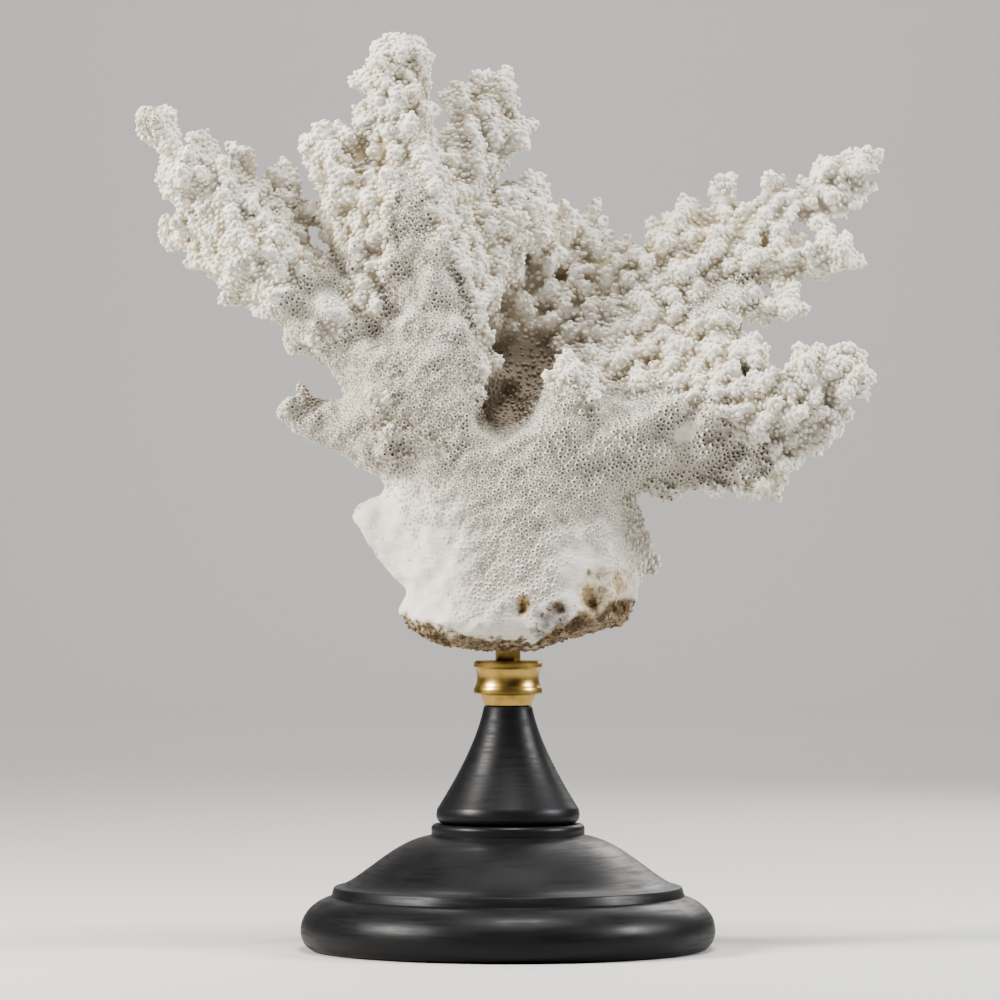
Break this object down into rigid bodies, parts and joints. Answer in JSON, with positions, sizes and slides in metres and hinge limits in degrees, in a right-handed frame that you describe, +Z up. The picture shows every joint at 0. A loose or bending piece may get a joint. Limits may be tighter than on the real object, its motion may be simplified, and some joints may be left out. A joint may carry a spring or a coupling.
{
  "type": "branching coral on a turned stand",
  "caption": "White branching coral skeleton, fanned out in one plane, held by a brass rod and collar on a round turned black stand.",
  "frame": {"origin": "centre of the stand's flat underside", "axes": "+Z up from the stand to the coral's crown; the coral fans out along X; its broad front looks along -Y"},
  "size_m": [0.2974, 0.166, 0.3662],
  "materials": {
    "coral": "matte, porous, chalky",
    "black_wood": "ebonised, satin",
    "brass": "turned, slightly aged"
  },
  "bodies": {
    "root": {"stand_foot": "black_wood", "stand_cone": "black_wood", "brass_collar": "brass", "brass_rod": "brass", "coral_trunk": "coral", "coral_left_finger": "coral", "coral_left_arm": "coral", "coral_centre_limb": "coral", "coral_crown_left": "coral", "coral_crown_top": "coral", "coral_crown_right": "coral", "coral_back_limb": "coral", "coral_right_upper_arm": "coral", "coral_right_lower_arm": "coral"}
  },
  "joints": []
}
